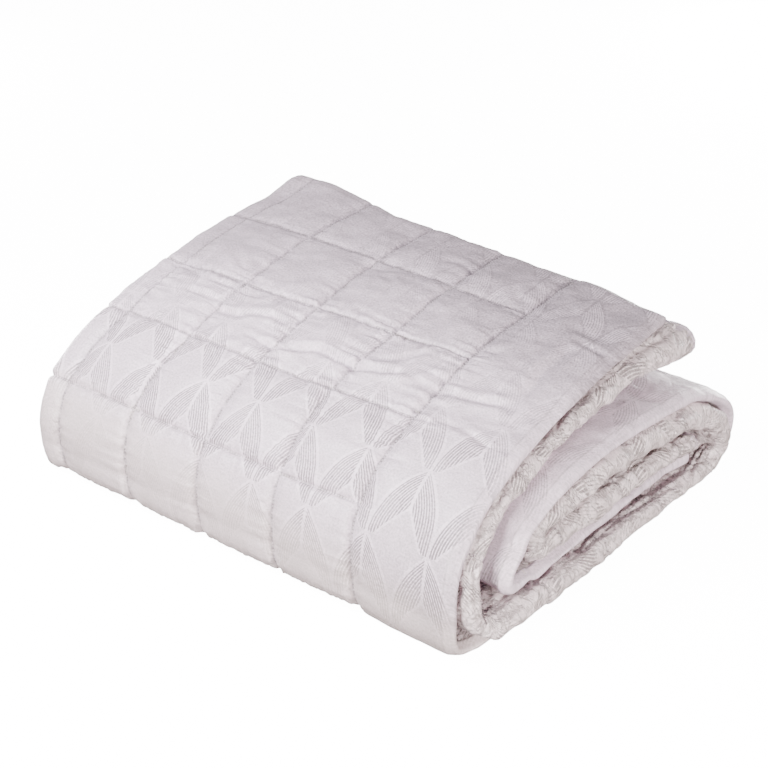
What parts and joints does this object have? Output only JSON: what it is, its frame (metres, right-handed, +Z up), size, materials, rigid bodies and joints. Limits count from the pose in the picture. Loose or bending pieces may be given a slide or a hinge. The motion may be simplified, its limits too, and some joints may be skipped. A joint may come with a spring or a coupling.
{
  "type": "folded quilt",
  "caption": "Quilt folded in thirds and rolled up: a soft fold in front, the edges of its padded layers at the right, the top quilted in squares.",
  "frame": {"origin": "on the floor, below the middle of the bounding box", "axes": "+X along the front fold to the right, +Y to the back, +Z up"},
  "size_m": [0.604, 0.455, 0.216],
  "materials": {
    "face_fabric": "satin woven jacquard"
  },
  "bodies": {
    "root": {"quilt": "face_fabric"}
  },
  "joints": []
}
